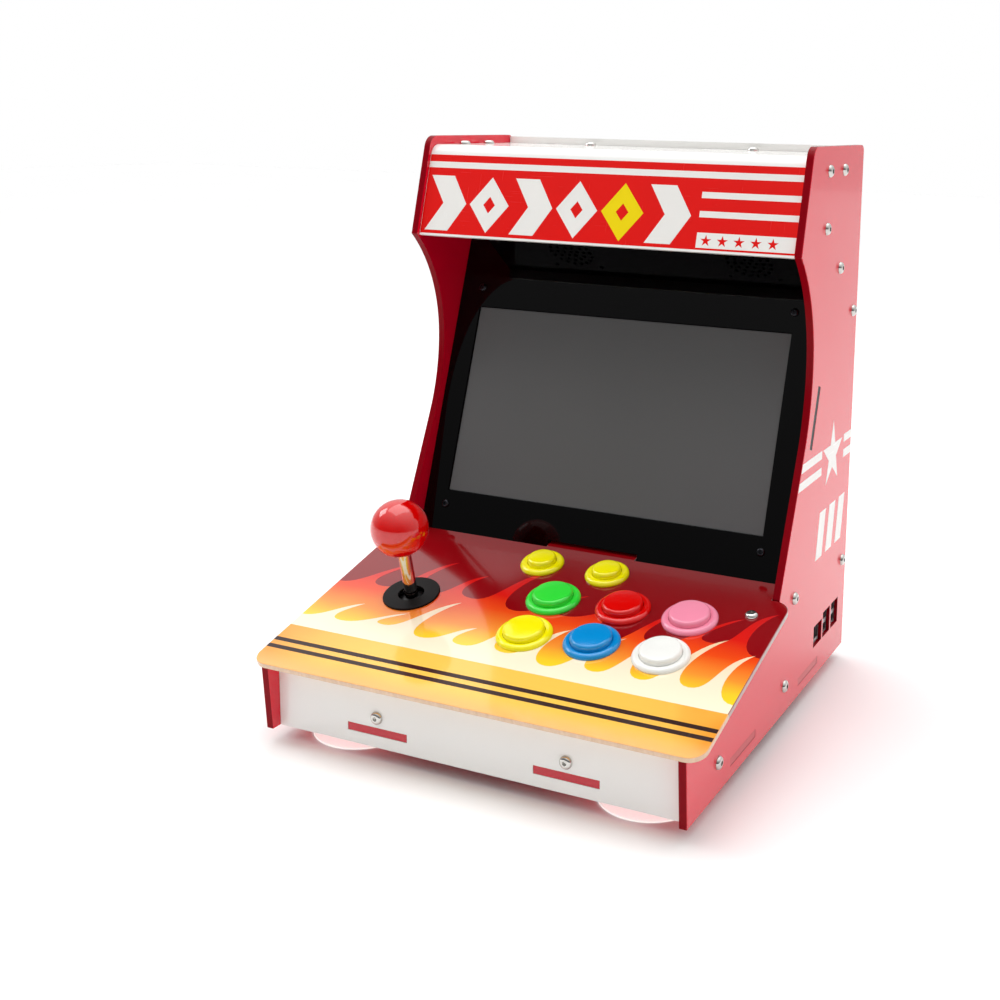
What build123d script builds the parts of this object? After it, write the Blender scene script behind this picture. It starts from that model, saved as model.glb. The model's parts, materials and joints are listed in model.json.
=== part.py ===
from build123d import *
import os
from math import acos, atan2, cos, degrees, hypot, radians, sin, tan

os.makedirs("parts", exist_ok=True)

# Bartop arcade cabinet: acrylic sheets on angle brackets, with a joystick, eight buttons and a screen.
# Millimetres. X is across the cabinet, Y runs from front to back and Z is up. The origin is on the
# table, under the middle of the cabinet. Below, "depth" is Y from the front bottom corner of the side
# panels and "height" is Z from their bottom edge.

# ---- driving dimensions ----
cabinet_width = 265.0
cabinet_depth = 275.0
cabinet_height = 339.0
side_sheet = 4.5            # red acrylic: sides and bottom
sheet = 3.0                 # white, black and clear acrylic
foot_height = 9.0           # table to the bottom edge of the side panels
front_y = -137.15           # Y of the side panels' front bottom corner
gap = 0.2                   # slack where two sheets meet

side_face = cabinet_width / 2
inner_face = side_face - side_sheet

# control panel: the top surface rises from its origin towards the screen
panel_slope = 14.4
panel_origin = (0.6, 42.1)
panel_front = -4.6
panel_shoulder = 138.5      # where the wide part of the panel ends
panel_rear = 155.4
panel_half_width = 140.6

# screen: the origin is the bottom edge of the visible area, on the front of the bezel
screen_tilt = 70.8
screen_origin = (161.8, 105.5)
screen_width = 222.7
screen_height = 125.3
bezel_bottom = -36.0
bezel_top = 190.0
bezel_screw_x = 111.8
bezel_screw_rows = (-9.7, 138.9)
mount_sheet = 4.5
mount_tab_middle = 75.4
mount_tab_length = 39.0

# marquee: the upper front edge of the side panels
marquee_foot = (152.7, 276.5)
brow = (170.5, cabinet_height)
marquee_inset = 2.5
top_sheet_height = 333.5
marquee_tilt = degrees(atan2(brow[1] - marquee_foot[1], brow[0] - marquee_foot[0]))

# concave front edge of the side panels
curve_deepest = (183.7, 208.0)
curve_lower_radius = 125.0

front_panel_depth = 6.5
back_panel_depth = cabinet_depth - sheet - 0.5
bottom_panel_height = 7.3
bottom_top = bottom_panel_height + side_sheet
ceiling_height = 280.6
tab_length = 39.5
side_tab_middles = (79.8, 197.3)
front_tab_x = 60.0

# hardware
m4_radius = 2.0
m4_clear = 2.15
m4_head_radius = 3.8
m4_head_height = 2.2
m3_radius = 1.5
m3_clear = 1.65
bracket_leg = 12.0
bracket_wall = 3.0
bracket_hole = 6.2
boss_height = 8.0           # standoffs under the circuit boards
board = 1.6

# joystick, in the control panel's own frame: below the panel is negative
stick_spot = (-86.0, 82.0)
stick_pivot = -15.0
stick_radius = 4.0
ball_radius = 17.5
ball_centre = 47.0
stick_tip = -44.0
housing_half = 26.0
housing_bottom = -35.0
running = 0.05              # radial clearance of a pin in its bore

# buttons: name, x, distance up the panel
action_buttons = {
    "green": (2.0, 102.0),
    "red": (47.0, 105.0),
    "pink": (89.0, 106.5),
    "yellow": (2.5, 65.0),
    "blue": (44.0, 69.0),
    "white": (87.0, 69.0),
}
menu_buttons = {"left": (-23.4, 135.7), "right": (21.8, 135.7)}

# single-board computer, its long side across the cabinet and its sockets facing right
computer_size = (85.0, 56.0)
computer_front = 205.6
computer_right = 125.0
socket_top = 37.8
ethernet_middle = computer_front + 10.3
usb_middles = (computer_front + 29.0, computer_front + 47.0)


def place(x, depth, height):
    return (x, front_y + depth, foot_height + height)


def side_plane(x):
    """Upright plane across X, drawn in (depth, height)."""
    return Plane(origin=place(x, 0, 0), x_dir=(0, 1, 0), z_dir=(1, 0, 0))


def level(height):
    """Flat plane at a height, drawn in (x, depth)."""
    return Plane(origin=place(0, 0, height))


def upright(depth):
    """Upright plane across the cabinet that faces the front, drawn in (x, height)."""
    return Plane(origin=place(0, depth, 0), x_dir=(1, 0, 0), z_dir=(0, -1, 0))


def tilted(origin, tilt):
    """Plane that leans back from the horizontal by tilt degrees and faces the player."""
    normal = (0, -sin(radians(tilt)), cos(radians(tilt)))
    return Plane(origin=place(0, origin[0], origin[1]), x_dir=(1, 0, 0), z_dir=normal)


control = tilted(panel_origin, panel_slope)
screen = tilted(screen_origin, screen_tilt)


def on(plane, x, y, offset=0.0):
    """A plane with the same directions, moved to a point of the given plane."""
    return Plane(origin=plane.from_local_coords((x, y, offset)), x_dir=plane.x_dir, z_dir=plane.z_dir)


def panel_point(up, lift):
    """(depth, height) of a point on the control panel's section."""
    slope = radians(panel_slope)
    depth = panel_origin[0] + up * cos(slope) - lift * sin(slope)
    return (depth, panel_origin[1] + up * sin(slope) + lift * cos(slope))


def screen_depth(height, behind):
    """Depth of the screen's tilted planes at a height, some way behind the bezel's face."""
    tilt = radians(screen_tilt)
    return screen_origin[0] + (height - screen_origin[1]) / tan(tilt) + behind / sin(tilt)


def save(part, name):
    part.label = name
    export_step(part, f"parts/{name}.step")


# ---- angle brackets ----
# Each bracket sits in the corner of a panel and a wall: its plane's z is the panel's inner normal and
# its plane's x points away from the wall. Both legs have a tapped M4 hole.
def corner(point, away, normal):
    return Plane(origin=point, x_dir=away, z_dir=normal)


bracket_places = []         # (plane, panel thickness, wall thickness)
mount_brackets = []         # the same, behind the screen mount, whose screws are countersunk
mount_normal = -screen.z_dir
under_panel = -control.z_dir
for hand in (-1, 1):
    inward = (-hand, 0, 0)
    wall = hand * inner_face
    for depth in (41.4, 149.8):
        spot = place(wall, depth, bottom_top)
        bracket_places.append((corner(spot, inward, (0, 0, 1)), side_sheet, side_sheet))
    for height in (62.7, 232.4):
        spot = place(wall, back_panel_depth, height)
        bracket_places.append((corner(spot, inward, (0, -1, 0)), sheet, side_sheet))
    for depth in (201.2, 232.0):
        spot = place(wall, depth, top_sheet_height - sheet)
        bracket_places.append((corner(spot, inward, (0, 0, -1)), sheet, side_sheet))
    for up in (-34.0, 172.0):
        spot = screen.from_local_coords((wall, up, -sheet - mount_sheet))
        mount_brackets.append((corner(spot, inward, mount_normal), mount_sheet, side_sheet))
    spot = place(wall, 200.0, ceiling_height + sheet)
    bracket_places.append((corner(spot, inward, (0, 0, 1)), sheet, side_sheet))
    spot = control.from_local_coords((wall, 120.4, -sheet))
    bracket_places.append((corner(spot, inward, under_panel), sheet, side_sheet))
    spot = place(hand * front_tab_x, front_panel_depth + sheet, bottom_top)
    bracket_places.append((corner(spot, (0, 1, 0), (0, 0, 1)), side_sheet, sheet))
    spot = place(hand * 60.0, back_panel_depth, top_sheet_height - sheet)
    bracket_places.append((corner(spot, (0, -1, 0), (0, 0, -1)), sheet, sheet))


def panel_screw(bracket):
    """Plane of the screw that comes through the panel: its z points out of the panel."""
    plane, panel, _ = bracket
    seat = plane.from_local_coords((bracket_hole, 0, -panel))
    return Plane(origin=seat, x_dir=plane.x_dir, z_dir=-plane.z_dir)


def wall_screw(bracket):
    """Plane of the screw that comes through the wall: its z points out of the wall."""
    plane, _, wall_sheet = bracket
    seat = plane.from_local_coords((-wall_sheet, 0, bracket_hole))
    return Plane(origin=seat, x_dir=plane.z_dir, z_dir=-plane.x_dir)


panel_places = [panel_screw(b) for b in bracket_places]
wall_places = [wall_screw(b) for b in bracket_places + mount_brackets]
mount_places = [panel_screw(b) for b in mount_brackets]


def drill(radius=m4_clear):
    """Clearance holes wherever a bracket screw meets the part being built."""
    with Locations(*panel_places, *wall_places):
        Cylinder(radius, side_sheet * 2 + 1, mode=Mode.SUBTRACT)


with BuildPart() as bracket:
    with BuildSketch(Plane.XZ) as angle:
        with Locations((bracket_leg / 2, bracket_wall / 2)):
            Rectangle(bracket_leg, bracket_wall)
        with Locations((bracket_wall / 2, bracket_leg / 2)):
            Rectangle(bracket_wall, bracket_leg)
    extrude(amount=bracket_leg / 2, both=True)
    fillet(bracket.edges().filter_by(Axis.Y).sort_by(lambda e: abs(e.center().X - e.center().Z))[0:1], 0.8)
    with Locations(Plane.XY.offset(bracket_wall)):
        with Locations((bracket_hole, 0)):
            Hole(m4_radius, depth=bracket_wall)
    with Locations(Plane.YZ.offset(bracket_wall)):
        with Locations((0, bracket_hole)):
            Hole(m4_radius, depth=bracket_wall)


def button_head_screw(radius, head_radius, head_height, length):
    """Screw with a domed hex-socket head; its seat is at z = 0 and its shank points down."""
    with BuildPart() as screw:
        with BuildSketch(Plane.XZ):
            with BuildLine():
                Polyline((0, head_height), (0, -length), (radius - 0.3, -length), (radius, -length + 0.3))
                Polyline((radius, -length + 0.3), (radius, 0), (head_radius, 0), (head_radius, 0.4))
                crown = (head_radius * 0.5, head_height)
                ThreePointArc((head_radius, 0.4), (head_radius * 0.84, head_height * 0.74), crown)
                Line(crown, (0, head_height))
            make_face()
        revolve(axis=Axis.Z)
        with BuildSketch(Plane.XY.offset(head_height)):
            RegularPolygon(head_radius * 0.38, 6)
        extrude(amount=-head_height * 0.6, mode=Mode.SUBTRACT)
    return screw.part


def flat_head_screw(radius, head_radius, length):
    """Countersunk screw whose head ends flush with its seat at z = 0."""
    head_depth = head_radius - radius
    with BuildPart() as screw:
        with BuildSketch(Plane.XZ):
            with BuildLine():
                Polyline((0, 0), (0, -length), (radius, -length), (radius, -head_depth), (head_radius, 0), (0, 0))
            make_face()
        revolve(axis=Axis.Z)
        with BuildSketch(Plane.XY):
            RegularPolygon(radius * 0.7, 6)
        extrude(amount=-1.4, mode=Mode.SUBTRACT)
    return screw.part


def group(piece, places):
    """Identical pieces, each a solid of its own, at the given planes."""
    with BuildPart() as pieces:
        with Locations(*places):
            add(piece)
    return pieces.part


# ---- side panels ----
def lower_tangent():
    """Point where the straight lower stretch of the concave edge meets its arc."""
    seat = panel_point(panel_shoulder + 1.0, 0)
    centre = (curve_deepest[0] - curve_lower_radius, curve_deepest[1])
    across, down = seat[0] - centre[0], centre[1] - seat[1]
    turn = atan2(down, across) - acos(curve_lower_radius / hypot(across, down))
    return (centre[0] + curve_lower_radius * cos(turn), centre[1] - curve_lower_radius * sin(turn))


def side_outline():
    """The side panel's outline in (depth, height), with its top corners still sharp."""
    shelf_rear = panel_shoulder + 1.0
    straight_top = lower_tangent()
    with BuildSketch() as outline:
        with BuildLine():
            TangentArc(curve_deepest, straight_top, tangent=(0, -1))
            TangentArc(curve_deepest, marquee_foot, tangent=(0, 1))
            Polyline(
                straight_top,
                panel_point(shelf_rear, 0),
                panel_point(shelf_rear, -sheet),
                panel_point(panel_front, -sheet),
                (0, 0),
                (cabinet_depth, 0),
                (cabinet_depth, cabinet_height),
                brow,
                marquee_foot,
            )
        make_face()
    return outline.sketch


def screen_slot():
    """Slot for the screen mount's tab, drawn on a side plane."""
    tilt = radians(screen_tilt)
    height = screen_origin[1] + mount_tab_middle * sin(tilt)
    height -= (sheet + mount_sheet / 2) * cos(tilt)
    depth = screen_depth(height, sheet + mount_sheet / 2)
    with Locations(Location((depth, height), screen_tilt)):
        Rectangle(mount_tab_length + 2 * gap, mount_sheet + 2 * gap)


def build_side(hand):
    start = inner_face if hand > 0 else -side_face
    plane = side_plane(start)
    with BuildPart() as side:
        with BuildSketch(plane):
            add(side_outline())
        extrude(amount=side_sheet)
        top_corners = side.edges().filter_by(Axis.X).group_by(Axis.Z)[-1].sort_by(Axis.Y)
        fillet(top_corners[0], 9.0)
        top_corners = side.edges().filter_by(Axis.X).group_by(Axis.Z)[-1].sort_by(Axis.Y)
        fillet(top_corners[-1], 4.5)
        with BuildSketch(plane):
            screen_slot()
            for middle in side_tab_middles:
                with Locations((middle, bottom_panel_height + side_sheet / 2)):
                    Rectangle(tab_length + 2 * gap, side_sheet + 2 * gap)
            if hand > 0:
                socket_windows()
        extrude(amount=side_sheet, mode=Mode.SUBTRACT)
        drill()
        chamfer(side.faces().sort_by(Axis.X)[-1 if hand > 0 else 0].outer_wire().edges(), 0.3)
    return side.part


def socket_windows():
    """Windows for the computer's network and USB sockets, drawn on a side plane."""
    window_bottom = 20.9
    with Locations((ethernet_middle, (window_bottom + 35.0) / 2)):
        Rectangle(17.2, 35.0 - window_bottom)
    for middle in usb_middles:
        with Locations((middle, (window_bottom + 38.2) / 2)):
            Rectangle(15.2, 38.2 - window_bottom)


save(build_side(-1), "side_panel_left")
save(build_side(1), "side_panel_right")


# ---- white top sheet, bent down at the front into the marquee ----
with BuildPart() as marquee_panel:
    across = inner_face - gap
    tilt = radians(marquee_tilt)
    foot = (marquee_foot[0] + marquee_inset * sin(tilt), marquee_foot[1] - marquee_inset * cos(tilt))
    fold = (foot[0] + (top_sheet_height - foot[1]) / tan(tilt), top_sheet_height)
    with BuildSketch(side_plane(-across)):
        with BuildLine():
            FilletPolyline(foot, fold, (back_panel_depth - gap, top_sheet_height), radius=9.0)
            offset(amount=sheet, side=Side.RIGHT)
        make_face()
    extrude(amount=2 * across)
    drill()
save(marquee_panel.part, "marquee_panel")


# ---- front panel ----
with BuildPart() as front_panel:
    front_top = panel_point(front_panel_depth / cos(radians(panel_slope)), -sheet)[1] - 0.6
    with BuildSketch(upright(front_panel_depth)):
        with Locations((0, front_top / 2)):
            Rectangle(2 * (inner_face - gap), front_top)
        with Locations((-front_tab_x, bottom_panel_height + side_sheet / 2)):
            Rectangle(tab_length + 2 * gap, side_sheet + 2 * gap, mode=Mode.SUBTRACT)
        with Locations((front_tab_x, bottom_panel_height + side_sheet / 2)):
            Rectangle(tab_length + 2 * gap, side_sheet + 2 * gap, mode=Mode.SUBTRACT)
    extrude(amount=-sheet)
    drill()
save(front_panel.part, "front_panel")


# ---- bottom panel, with tabs into the sides and the front ----
foot_spots = [(-94.0, 40.0), (94.0, 40.0), (-94.0, 236.0), (94.0, 236.0)]
encoder_middle = (-15.0, 128.0)
encoder_size = (80.0, 40.0)
board_hole_inset = 3.5


def board_corners(middle, size):
    """Screw positions near the four corners of a circuit board."""
    across, along = size[0] / 2 - board_hole_inset, size[1] / 2 - board_hole_inset
    return [(middle[0] + i * across, middle[1] + j * along) for i in (-1, 1) for j in (-1, 1)]


computer_middle = (computer_right - computer_size[0] / 2, computer_front + computer_size[1] / 2)
computer_hole_span = (65.0, 56.0)   # its holes stop short of the sockets
computer_hole_middle = (computer_middle[0] - 10.0, computer_middle[1])
computer_holes = board_corners(computer_hole_middle, computer_hole_span)
encoder_holes = board_corners(encoder_middle, encoder_size)
floor_bosses = computer_holes + encoder_holes

with BuildPart() as bottom_panel:
    front_edge = front_panel_depth + sheet + gap
    rear_edge = back_panel_depth - gap
    with BuildSketch(level(bottom_panel_height)):
        with Locations((0, (front_edge + rear_edge) / 2)):
            Rectangle(2 * (inner_face - gap), rear_edge - front_edge)
        for middle in side_tab_middles:
            with Locations((0, middle)):
                Rectangle(2 * side_face - 0.2, tab_length)
        with Locations((-front_tab_x, front_edge), (front_tab_x, front_edge)):
            Rectangle(tab_length, 2 * (sheet + gap) - 0.2)
    extrude(amount=side_sheet)
    with Locations(level(bottom_top)):
        with Locations(*foot_spots):
            Hole(m4_clear)
        with Locations(*floor_bosses):
            Hole(m3_radius)
    drill()
save(bottom_panel.part, "bottom_panel")


# ---- back panel, with vents, a rocker switch and a power socket ----
rocker_spot = (-62.0, 44.0)
rocker_cutout = (19.4, 13.0)
inlet_spot = (-96.0, 44.0)
inlet_radius = 4.0

with BuildPart() as back_panel:
    back_height = cabinet_height - 1.0
    with BuildSketch(upright(back_panel_depth)):
        with Locations((0, back_height / 2)):
            Rectangle(2 * (inner_face - gap), back_height)
        with Locations(rocker_spot):
            Rectangle(*rocker_cutout, mode=Mode.SUBTRACT)
        with Locations(inlet_spot):
            Circle(inlet_radius, mode=Mode.SUBTRACT)
        with Locations((-55, 180), (55, 180)):
            with GridLocations(0, 9.0, 1, 9):
                SlotOverall(70.0, 3.2, mode=Mode.SUBTRACT)
    extrude(amount=-sheet)
    drill()
save(back_panel.part, "back_panel")


# ---- ceiling over the screen, with the speaker grilles ----
speaker_spots = [(-66.0, 190.0), (66.0, 190.0)]
speaker_radius = 20.0
speaker_ear = 17.5

with BuildPart() as ceiling_panel:
    front_edge = foot[0] + (ceiling_height - foot[1]) / tan(tilt) + sheet / sin(tilt) + 1.2
    rear_edge = screen_depth(ceiling_height, 0) - 0.3
    with BuildSketch(level(ceiling_height)):
        with Locations((0, (front_edge + rear_edge) / 2)):
            Rectangle(2 * (inner_face - gap), rear_edge - front_edge)
        for spot in speaker_spots:
            with Locations(spot):
                Circle(1.6, mode=Mode.SUBTRACT)
                for ring in (1, 2, 3):
                    with PolarLocations(5.0 * ring, 6 * ring):
                        Circle(1.6, mode=Mode.SUBTRACT)
                with GridLocations(2 * speaker_ear, 2 * speaker_ear, 2, 2):
                    Circle(m3_clear, mode=Mode.SUBTRACT)
    extrude(amount=sheet)
    drill()
save(ceiling_panel.part, "ceiling_panel")


# ---- screen bezel and the mount behind it ----
notch_width = 63.5
notch_top = (panel_point(panel_rear, 3.2)[1] - screen_origin[1]) / sin(radians(screen_tilt))
lcd_size = (235.0, 137.0)
lcd_middle = screen_height / 2 + 0.3
lcd_back = sheet + 6.6      # the tray's rear face, behind the bezel's front
driver_middle = (-50.0, 60.0)
driver_size = (90.0, 50.0)


def bezel_screws():
    return [(side * bezel_screw_x, row) for side in (-1, 1) for row in bezel_screw_rows]


def screen_sheet(bottom, top, notch):
    """Sheet outline on the screen plane, notched at the bottom for the control panel's tab."""
    with Locations((0, (bottom + top) / 2)):
        Rectangle(2 * (inner_face - gap), top - bottom)
    with Locations((0, (bottom + notch) / 2)):
        Rectangle(notch_width, notch - bottom, mode=Mode.SUBTRACT)
    with Locations(*bezel_screws()):
        Circle(m3_clear, mode=Mode.SUBTRACT)


with BuildPart() as screen_bezel:
    with BuildSketch(screen):
        screen_sheet(bezel_bottom, bezel_top, notch_top)
        with Locations((0, screen_height / 2)):
            RectangleRounded(screen_width + 1.0, screen_height + 1.0, 1.0, mode=Mode.SUBTRACT)
    extrude(amount=-sheet)
save(screen_bezel.part, "screen_bezel")

with BuildPart() as screen_mount:
    with BuildSketch(screen.offset(-sheet)):
        screen_sheet(bezel_bottom - 6.0, bezel_top, notch_top + 7.0)
        with Locations((0, mount_tab_middle)):
            Rectangle(2 * side_face - 0.2, mount_tab_length)
        with Locations((0, lcd_middle)):
            Rectangle(lcd_size[0] - 20.0, lcd_size[1] - 6.0, mode=Mode.SUBTRACT)
    extrude(amount=-mount_sheet)
    with BuildSketch(screen.offset(-sheet)):
        with Locations((0, lcd_middle)):
            Rectangle(lcd_size[0] + 0.6, lcd_size[1] + 0.6)
    extrude(amount=-3.3, mode=Mode.SUBTRACT)
    with Locations(*mount_places):
        CounterSinkHole(m4_clear, m4_head_radius + 0.3, mount_sheet)
save(screen_mount.part, "screen_mount")

# the display module lies in the mount's recess: a metal tray and a glass face
with BuildPart() as lcd_tray:
    with BuildSketch(screen.offset(-sheet - 1.2)):
        with Locations((0, lcd_middle)):
            RectangleRounded(lcd_size[0], lcd_size[1], 2.0)
    extrude(amount=-2.0)
    with BuildSketch(screen.offset(-sheet - 3.2)):
        with Locations((0, lcd_middle)):
            RectangleRounded(lcd_size[0] - 24.0, lcd_size[1] - 10.0, 2.0)
    extrude(amount=sheet + 3.2 - lcd_back)
save(lcd_tray.part, "lcd_tray")

with BuildPart() as lcd_glass:
    with BuildSketch(screen.offset(-sheet)):
        with Locations((0, lcd_middle)):
            RectangleRounded(lcd_size[0] - 1.0, lcd_size[1] - 1.0, 1.5)
    extrude(amount=-1.2)
    with BuildSketch(screen.offset(-sheet)):
        with Locations((0, screen_height / 2)):
            Rectangle(screen_width, screen_height)
    extrude(amount=1.8)
save(lcd_glass.part, "lcd_glass")


# ---- circuit boards ----
def circuit_board(plane, middle, size, holes, chips):
    """A board with its screw holes and soldered components, its underside on the plane."""
    with BuildPart() as circuit:
        with BuildSketch(plane):
            with Locations(middle):
                RectangleRounded(size[0], size[1], 3.0)
            with Locations(*holes):
                Circle(m3_clear, mode=Mode.SUBTRACT)
        extrude(amount=board)
        for x, y, width, length, height in chips:
            with BuildSketch(on(plane, middle[0] + x, middle[1] + y, board)):
                Rectangle(width, length)
            extrude(amount=height)
    return circuit.part


board_level = level(bottom_top + boss_height)
computer_chips = [(-12, 2, 15, 15, 1.6), (8, -2, 12, 12, 1.2), (-10, 24, 48, 5, 8.5), (-28, -22, 9, 7, 3)]
save(
    circuit_board(board_level, computer_middle, computer_size, computer_holes, computer_chips),
    "computer_board",
)

encoder_chips = [(0, 0, 9, 9, 1.2), (0, 14, 60, 6, 7.0), (0, -14, 60, 6, 7.0)]
save(
    circuit_board(board_level, encoder_middle, encoder_size, encoder_holes, encoder_chips),
    "control_encoder_board",
)

driver_boss = 4.0
driver_plane = Plane(
    origin=screen.from_local_coords((0, 0, -lcd_back - driver_boss)),
    x_dir=-screen.x_dir,
    z_dir=-screen.z_dir,
)
driver_chips = [(0, 0, 14, 14, 1.6), (-34, 0, 10, 30, 5.0), (30, -14, 16, 12, 9.0), (20, 18, 30, 5, 4.0)]
driver_holes = board_corners(driver_middle, driver_size)
save(
    circuit_board(driver_plane, driver_middle, driver_size, driver_holes, driver_chips),
    "display_driver_board",
)


def socket_shells(middles, width, top, mouth_heights, mouth_size):
    """Metal-shelled sockets on the computer's right edge, with their mouths facing right."""
    base = bottom_top + boss_height + board
    face = side_plane(inner_face + 2.6)
    with BuildPart() as socket:
        with BuildSketch(face):
            for middle in middles:
                with Locations((middle, (base + top) / 2)):
                    Rectangle(width, top - base)
        extrude(amount=-19.0)
        with BuildSketch(face):
            for middle in middles:
                with Locations(*[(middle, height) for height in mouth_heights]):
                    Rectangle(*mouth_size)
        extrude(amount=-12.0, mode=Mode.SUBTRACT)
        fillet(socket.edges().filter_by(Axis.X).group_by(Axis.Z)[-1], 0.6)
    return socket.part


save(socket_shells([ethernet_middle], 16.0, 34.7, [28.2], (12.0, 8.6)), "network_socket")
save(socket_shells(usb_middles, 13.6, socket_top, [25.5, 33.5], (12.0, 5.2)), "usb_sockets")

with BuildPart() as board_standoffs:
    with BuildSketch(level(bottom_top)):
        with Locations(*floor_bosses):
            RegularPolygon(2.9, 6)
            Circle(m3_radius, mode=Mode.SUBTRACT)
    extrude(amount=boss_height)
    with BuildSketch(driver_plane):
        with Locations(*driver_holes):
            Circle(2.6)
            Circle(m3_radius, mode=Mode.SUBTRACT)
    extrude(amount=-driver_boss)
save(board_standoffs.part, "board_standoffs")


# ---- speakers, firing down through the ceiling ----
speaker_flange = 1.2
cone_height = 9.0
with BuildPart() as speaker:
    with BuildSketch():
        RectangleRounded(2 * speaker_radius + 2, 2 * speaker_radius + 2, 4.0)
        Circle(speaker_radius - 2.5, mode=Mode.SUBTRACT)
        with GridLocations(2 * speaker_ear, 2 * speaker_ear, 2, 2):
            Circle(m3_clear, mode=Mode.SUBTRACT)
    extrude(amount=speaker_flange)
    with BuildSketch(Plane.XZ):
        with BuildLine():
            Polyline((speaker_radius - 1.6, speaker_flange), (12.0, cone_height), (14.0, cone_height))
            Polyline((14.0, cone_height), (14.0, cone_height + 8.0), (0, cone_height + 8.0), (0, 4.0))
            Polyline((0, 4.0), (9.0, 5.5), (speaker_radius - 3.0, 0.4), (speaker_radius - 1.6, speaker_flange))
        make_face()
    revolve(axis=Axis.Z)
save(group(speaker.part, [on(level(ceiling_height + sheet), *spot) for spot in speaker_spots]), "speakers")


# ---- suction-cup feet ----
cup_radius = 29.0
cup_lip = 1.2


neck_top = foot_height + bottom_panel_height
with BuildPart() as suction_foot:
    with BuildSketch(Plane.XZ):
        with BuildLine():
            Polyline((0, neck_top), (7.5, neck_top), (7.5, neck_top - 4.0))
            Spline((7.5, neck_top - 4.0), (11.0, 6.8), (cup_radius, cup_lip), tangents=[(0, -1), (1, -0.1)])
            Polyline((cup_radius, cup_lip), (cup_radius, 0), (cup_radius - 3.0, 0))
            Spline((cup_radius - 3.0, 0), (12.0, 2.8), (0, 3.6), tangents=[(-1, 0.2), (-1, 0)])
            Line((0, 3.6), (0, neck_top))
        make_face()
    revolve(axis=Axis.Z)
    with Locations((0, 0, neck_top)):
        Hole(m4_radius, depth=6.0)
save(group(suction_foot.part, [on(level(-foot_height), *spot) for spot in foot_spots]), "suction_feet")


# ---- control panel ----
def all_buttons():
    return list(action_buttons.values()), list(menu_buttons.values())


with BuildPart() as control_panel:
    wide, narrow = all_buttons()
    with BuildSketch(control):
        with Locations((0, (panel_front + panel_shoulder) / 2)):
            RectangleRounded(2 * panel_half_width, panel_shoulder - panel_front, 10.0)
        with Locations((0, (panel_shoulder + panel_rear) / 2 - 10)):
            Rectangle(2 * (inner_face - gap), panel_rear - panel_shoulder + 20)
        with Locations((0, panel_rear + 4.0)):
            Rectangle(notch_width - 1.0, 12.0)
        with Locations(*wide):
            Circle(15.1, mode=Mode.SUBTRACT)
        with Locations(*narrow):
            Circle(12.1, mode=Mode.SUBTRACT)
        with Locations(stick_spot):
            Circle(12.0, mode=Mode.SUBTRACT)
    extrude(amount=-sheet)
    drill()
    chamfer(control_panel.faces().sort_by(Axis(control.origin, control.z_dir))[-1].outer_wire().edges(), 0.3)
save(control_panel.part, "control_panel")


# ---- joystick ----
def stick_plane(offset):
    """Plane across the joystick, parallel to the control panel, some way above or below it."""
    return on(control, stick_spot[0], stick_spot[1], offset)


stick_axis = Axis(stick_plane(0).origin, control.z_dir)

plate_holes = (40.0, 76.0)
with BuildPart() as joystick_plate:
    with BuildSketch(stick_plane(-sheet)):
        RectangleRounded(53.0, 90.0, 3.0)
        Circle(12.0, mode=Mode.SUBTRACT)
        with GridLocations(*plate_holes, 2, 2):
            SlotOverall(7.0, 4.2, mode=Mode.SUBTRACT)
    extrude(amount=-1.6)
save(joystick_plate.part, "joystick_plate")

plate_bottom = -sheet - 1.6
socket_start = 15.5
pin_radius = 2.0
with BuildPart() as joystick_housing:
    with BuildSketch(stick_plane(plate_bottom)):
        RectangleRounded(2 * housing_half, 2 * housing_half, 4.0)
    extrude(amount=housing_bottom - plate_bottom)
    with BuildSketch(stick_plane(plate_bottom)):
        RectangleRounded(2 * housing_half - 5.0, 2 * housing_half - 5.0, 2.0)
    extrude(amount=housing_bottom - plate_bottom, mode=Mode.SUBTRACT)
    for hand in (-1, 1):
        bearing = on(stick_plane(stick_pivot), hand * (socket_start + housing_half - 2.0) / 2, 0)
        with Locations(bearing):
            Box(housing_half - 2.0 - socket_start, 9.0, 9.0)
    pivot_bore = Plane(origin=stick_plane(stick_pivot).origin, x_dir=(0, 1, 0), z_dir=(1, 0, 0))
    with Locations(pivot_bore):
        Cylinder(pin_radius + running, 2 * 22.0, mode=Mode.SUBTRACT)
save(joystick_housing.part, "joystick_housing")

ring_outer = 13.5
ring_inner = 8.8
with BuildPart() as joystick_gimbal:
    with BuildSketch(stick_plane(stick_pivot)):
        Circle(ring_outer)
        Circle(ring_inner, mode=Mode.SUBTRACT)
    extrude(amount=3.5, both=True)
    for hand in (-1, 1):
        with BuildSketch(on(pivot_bore, 0, 0, hand * (ring_outer - 1.0))):
            Circle(pin_radius)
        extrude(amount=hand * (21.5 - ring_outer + 1.0))
    cross_bore = Plane(
        origin=stick_plane(stick_pivot).origin, x_dir=(1, 0, 0), z_dir=control.y_dir
    )
    with Locations(cross_bore):
        Cylinder(pin_radius + running, 40.0, mode=Mode.SUBTRACT)
save(joystick_gimbal.part, "joystick_gimbal")

with BuildPart() as joystick_shaft:
    with BuildSketch(stick_plane(stick_tip)):
        Circle(stick_radius)
    extrude(amount=ball_centre - 8.0 - stick_tip)
    with BuildSketch(stick_plane(ball_centre - 8.0)):
        Circle(3.0)
    extrude(amount=8.0)
    with Locations(cross_bore):
        Cylinder(pin_radius, 25.0)
    with BuildSketch(stick_plane(stick_tip + 1.6)):
        Circle(stick_radius + 1)
        Circle(stick_radius - 0.8, mode=Mode.SUBTRACT)
    extrude(amount=0.9, mode=Mode.SUBTRACT)
save(joystick_shaft.part, "joystick_shaft")

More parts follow.
